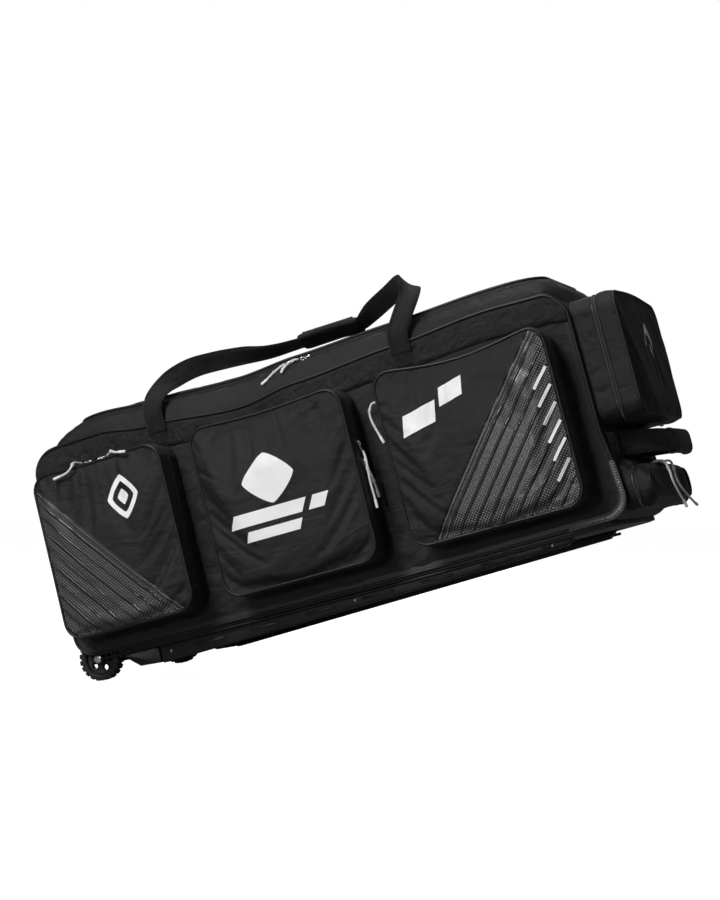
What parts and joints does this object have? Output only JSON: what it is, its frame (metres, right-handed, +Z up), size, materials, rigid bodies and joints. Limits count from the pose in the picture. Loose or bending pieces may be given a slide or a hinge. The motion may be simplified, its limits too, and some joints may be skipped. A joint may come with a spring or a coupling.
{
  "type": "hockey equipment bag",
  "caption": "Long wheeled kit duffle with a zipped lid, zipped front and end pockets, webbing carry handles and skid rails.",
  "frame": {"origin": "on the floor under the middle of the bag's bounding box, its cords left out", "axes": "+Z up, +X from the wheels towards the end handle, -Y out of the panel with the three pockets; the bag lies on its wheels and skid rails, so its body leans 1.5 degrees down towards +X"},
  "size_m": [1.093, 0.4328, 0.5031],
  "materials": {
    "shell_fabric": "coated polyester, dull sheen",
    "webbing": "woven",
    "moulded_plastic": "satin",
    "board": "matte",
    "steel": "satin",
    "tread": "matte",
    "bush_plastic": "satin",
    "zip_tape": "matte",
    "pull_cord": "braided"
  },
  "bodies": {
    "bag": {"front_panel": "shell_fabric", "rear_panel": "shell_fabric", "wheel_end_panel": "shell_fabric", "handle_end_panel": "shell_fabric", "base_panel": "moulded_plastic", "base_board": "board", "top_collar": "shell_fabric", "edge_piping": "moulded_plastic", "top_bands": "webbing", "skid_rails": "moulded_plastic", "rail_rivets": "steel", "wheel_chassis": "moulded_plastic", "wheel_bolts": "steel", "corner_guard": "moulded_plastic", "handle_anchors": "webbing", "left_pocket_gusset": "shell_fabric", "middle_pocket_gusset": "shell_fabric", "right_pocket_gusset": "shell_fabric", "end_pocket_gusset": "shell_fabric", "low_pocket_gusset": "shell_fabric", "zip_tracks": "zip_tape"},
    "lid": {"lid_panel": "shell_fabric"},
    "left_cover": {"left_pocket_cover": "shell_fabric"},
    "middle_cover": {"middle_pocket_cover": "shell_fabric"},
    "right_cover": {"right_pocket_cover": "shell_fabric"},
    "end_cover": {"end_pocket_cover": "shell_fabric"},
    "low_cover": {"low_pocket_cover": "shell_fabric"},
    "front_wheel": {"front_tyre": "tread", "front_hub": "moulded_plastic", "front_bush": "bush_plastic"},
    "rear_wheel": {"rear_tyre": "tread", "rear_hub": "moulded_plastic", "rear_bush": "bush_plastic"},
    "front_handle": {"front_handle_strap": "webbing", "front_handle_grip": "webbing"},
    "rear_handle": {"rear_handle_strap": "webbing"},
    "end_handle": {"end_handle_strap": "webbing", "end_handle_grip": "webbing"},
    "main_pull_a": {"main_slider_a": "steel", "main_cord_a": "pull_cord"},
    "main_pull_b": {"main_slider_b": "steel", "main_cord_b": "pull_cord"},
    "left_pull_a": {"left_slider_a": "steel", "left_cord_a": "pull_cord"},
    "left_pull_b": {"left_slider_b": "steel", "left_cord_b": "pull_cord"},
    "middle_pull_a": {"middle_slider_a": "steel", "middle_cord_a": "pull_cord"},
    "middle_pull_b": {"middle_slider_b": "steel", "middle_cord_b": "pull_cord"},
    "right_pull": {"right_slider": "steel", "right_cord": "pull_cord"},
    "end_pull": {"end_slider": "steel"},
    "low_pull_a": {"low_slider_a": "steel", "low_cord_a": "pull_cord"},
    "low_pull_b": {"low_slider_b": "steel", "low_cord_b": "pull_cord"}
  },
  "joints": [
    {"name": "lid_opens", "type": "hinge", "parent": "bag", "child": "lid", "pos_m": [-0.03205, 0.1806, 0.43086], "axis": [-0.9997, 0, 0.0262], "range_deg": [0, 105], "deforming": ["front_handle_strap", "front_handle_grip"]},
    {"name": "left_pocket_opens", "type": "hinge", "parent": "bag", "child": "left_cover", "pos_m": [-0.39151, -0.17755, 0.07395], "axis": [0.9997, 0, -0.0262], "range_deg": [0, 60], "deforming": ["left_cord_a", "left_cord_b"]},
    {"name": "middle_pocket_opens", "type": "hinge", "parent": "bag", "child": "middle_cover", "pos_m": [-0.07162, -0.17755, 0.06557], "axis": [0.9997, 0, -0.0262], "range_deg": [0, 60]},
    {"name": "right_pocket_opens", "type": "hinge", "parent": "bag", "child": "right_cover", "pos_m": [0.27026, -0.17755, 0.05662], "axis": [0.9997, 0, -0.0262], "range_deg": [0, 60]},
    {"name": "end_pocket_opens", "type": "hinge", "parent": "bag", "child": "end_cover", "pos_m": [0.49794, 0.1956, 0.26473], "axis": [0.0262, 0, 0.9997], "range_deg": [0, 92]},
    {"name": "low_pocket_opens", "type": "hinge", "parent": "bag", "child": "low_cover", "pos_m": [0.48266, 0.0306, 0.02505], "axis": [0, 1, 0], "range_deg": [0, 42], "deforming": ["low_cord_a", "low_cord_b"]},
    {"name": "front_wheel_turns", "type": "hinge", "parent": "bag", "child": "front_wheel", "pos_m": [-0.5085, -0.1224, 0.038], "axis": [0, 1, 0], "continuous": true},
    {"name": "rear_wheel_turns", "type": "hinge", "parent": "bag", "child": "rear_wheel", "pos_m": [-0.5085, 0.1836, 0.038], "axis": [0, 1, 0], "continuous": true},
    {"name": "front_handle_swings", "type": "hinge", "parent": "bag", "child": "front_handle", "pos_m": [-0.05215, -0.1472, 0.38917], "axis": [0.9997, 0, -0.0262], "range_deg": [0, 110]},
    {"name": "rear_handle_swings", "type": "hinge", "parent": "bag", "child": "rear_handle", "pos_m": [-0.05215, 0.2109, 0.38917], "axis": [0.9997, 0, -0.0262], "range_deg": [0, 100]},
    {"name": "end_handle_flexes", "type": "hinge", "parent": "bag", "child": "end_handle", "pos_m": [0.46137, 0.0306, 0.13464], "axis": [0, 1, 0], "range_deg": [-3, 3]},
    {"name": "main_zip_a_slides", "type": "slide", "parent": "bag", "child": "main_pull_a", "axis": [-0.9997, 0, 0.0262], "range_m": [0, 0.375]},
    {"name": "main_zip_b_slides", "type": "slide", "parent": "bag", "child": "main_pull_b", "axis": [0.9997, 0, -0.0262], "range_m": [0, 0.355]},
    {"name": "left_zip_a_slides", "type": "slide", "parent": "bag", "child": "left_pull_a", "axis": [-0.9997, 0, 0.0262], "range_m": [0, 0.055]},
    {"name": "left_zip_b_slides", "type": "slide", "parent": "bag", "child": "left_pull_b", "axis": [0.9997, 0, -0.0262], "range_m": [0, 0.08]},
    {"name": "middle_zip_a_slides", "type": "slide", "parent": "bag", "child": "middle_pull_a", "axis": [0.0262, 0, 0.9997], "range_m": [0, 0.06]},
    {"name": "middle_zip_b_slides", "type": "slide", "parent": "bag", "child": "middle_pull_b", "axis": [-0.0262, 0, -0.9997], "range_m": [0, 0.115]},
    {"name": "right_zip_slides", "type": "slide", "parent": "bag", "child": "right_pull", "axis": [-0.0262, 0, -0.9997], "range_m": [0, 0.21]},
    {"name": "end_zip_slides", "type": "slide", "parent": "bag", "child": "end_pull", "axis": [0, -1, 0], "range_m": [0, 0.22]},
    {"name": "low_zip_a_slides", "type": "slide", "parent": "bag", "child": "low_pull_a", "axis": [0, -1, 0], "range_m": [0, 0.09]},
    {"name": "low_zip_b_slides", "type": "slide", "parent": "bag", "child": "low_pull_b", "axis": [0, 1, 0], "range_m": [0, 0.12]}
  ]
}
